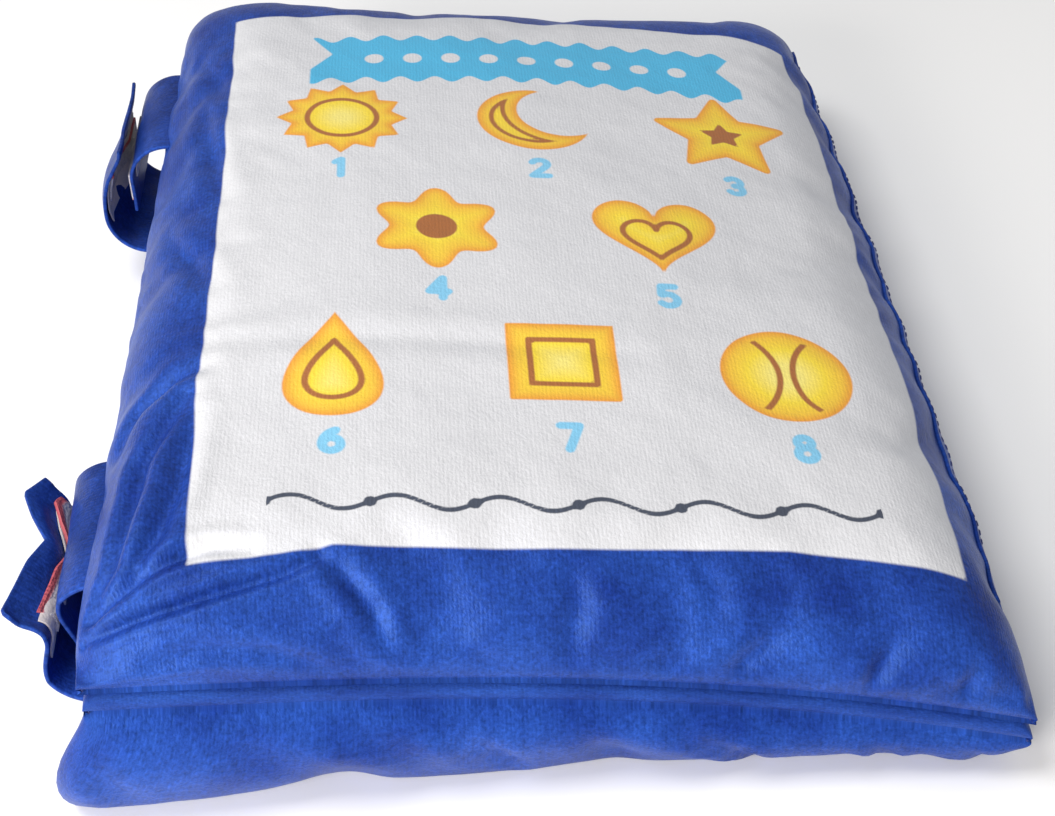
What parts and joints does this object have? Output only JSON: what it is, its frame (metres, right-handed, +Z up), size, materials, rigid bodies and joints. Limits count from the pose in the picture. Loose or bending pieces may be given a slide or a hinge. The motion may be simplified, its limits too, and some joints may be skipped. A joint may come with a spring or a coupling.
{
  "type": "cushion book",
  "caption": "Soft padded cloth book of two cushioned velour covers, hinged along a cloth spine and held shut at the fore-edge by two hook-and-loop strap tabs.",
  "frame": {"origin": "on the table, under the middle of the box round the closed book", "axes": "+Z up, +X towards the spine, +Y along the spine, away from the viewer who has the spine on the right"},
  "size_m": [0.259, 0.322, 0.0695],
  "materials": {
    "outer_velour": "knitted velour with a short pile",
    "inner_velour": "knitted velour with a short pile",
    "spine_velour": "knitted velour with a short pile",
    "strap_velour": "knitted velour with a short pile",
    "lining": "plain brushed polyester",
    "tape": "hook and loop tape",
    "thread": "sewing thread",
    "filling": "polyester fibre filling"
  },
  "bodies": {
    "front_cover": {"front_outer_panel": "outer_velour", "front_inner_panel": "inner_velour", "front_filling": "filling", "front_seam_thread": "thread", "front_spine_band": "spine_velour", "front_spine_stitching": "thread"},
    "back_cover": {"back_outer_panel": "outer_velour", "back_inner_panel": "inner_velour", "back_filling": "filling", "back_seam_thread": "thread", "back_spine_band": "spine_velour", "back_spine_stitching": "thread", "far_inner_tab": "strap_velour", "far_inner_tab_lining": "lining", "far_loop_tape": "tape", "near_inner_tab": "strap_velour", "near_inner_tab_lining": "lining", "near_loop_tape": "tape"},
    "far_outer_tab": {"far_outer_tab": "strap_velour", "far_outer_tab_lining": "lining", "far_hook_tape": "tape"},
    "near_outer_tab": {"near_outer_tab": "strap_velour", "near_outer_tab_lining": "lining", "near_hook_tape": "tape"}
  },
  "joints": [
    {"name": "back_cover_fold", "type": "hinge", "parent": "front_cover", "child": "back_cover", "pos_m": [0.12963, 0, 0.026], "axis": [0, 1, 0], "range_deg": [0, 172]},
    {"name": "far_outer_tab_peel", "type": "hinge", "parent": "front_cover", "child": "far_outer_tab", "pos_m": [-0.1035, 0.0915, 0.016], "axis": [0, -1, 0], "range_deg": [0, 70]},
    {"name": "near_outer_tab_peel", "type": "hinge", "parent": "front_cover", "child": "near_outer_tab", "pos_m": [-0.1035, -0.1035, 0.016], "axis": [0, -1, 0], "range_deg": [0, 70]}
  ]
}
